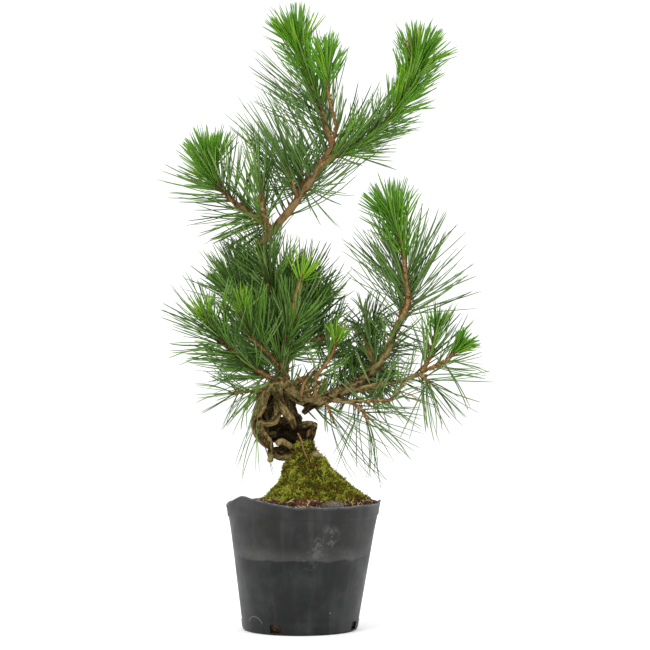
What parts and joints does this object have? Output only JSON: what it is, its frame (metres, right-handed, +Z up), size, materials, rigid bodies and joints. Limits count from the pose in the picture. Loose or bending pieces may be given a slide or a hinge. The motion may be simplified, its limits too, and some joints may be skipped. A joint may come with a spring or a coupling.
{
  "type": "potted japanese black pine",
  "caption": "Young Japanese black pine with bared, twisted roots and tufted long needles, rising from a moss mound in a dark plastic nursery pot.",
  "frame": {"origin": "centre of the pot's flat underside, on the surface it stands on", "axes": "+Z up, +X to the right of the side shown in the picture, -Y towards its viewer"},
  "size_m": [0.333, 0.2109, 0.6273],
  "materials": {
    "pot_plastic": "soft dark plastic, dusty and water marked",
    "soil": "reddish granular soil",
    "moss": "dense olive moss",
    "old_bark": "rough grey-brown bark",
    "bough_bark": "scaly brown bark",
    "needles": "satin green needles on reddish twigs"
  },
  "bodies": {
    "root": {"pot": "pot_plastic", "soil": "soil", "moss_mound": "moss", "trunk": "old_bark", "left_bough": "bough_bark", "right_bough": "bough_bark", "right_rise_bough": "bough_bark", "right_level_bough": "bough_bark", "low_right_bough": "bough_bark", "top_left_foliage": "needles", "top_middle_foliage": "needles", "top_right_foliage": "needles", "leader_left_foliage": "needles", "leader_right_foliage": "needles", "leader_back_foliage": "needles", "left_foliage": "needles", "inner_left_foliage": "needles", "right_top_foliage": "needles", "right_end_foliage": "needles", "right_middle_foliage": "needles", "right_hanging_foliage": "needles", "right_inner_foliage": "needles", "right_back_foliage": "needles", "right_back_low_foliage": "needles", "low_right_foliage": "needles", "low_hanging_foliage": "needles", "elbow_hanging_foliage": "needles", "front_left_foliage": "needles", "outer_left_foliage": "needles", "back_left_foliage": "needles", "front_foliage": "needles", "low_left_foliage": "needles", "back_foliage": "needles", "back_right_foliage": "needles", "back_low_foliage": "needles"}
  },
  "joints": []
}
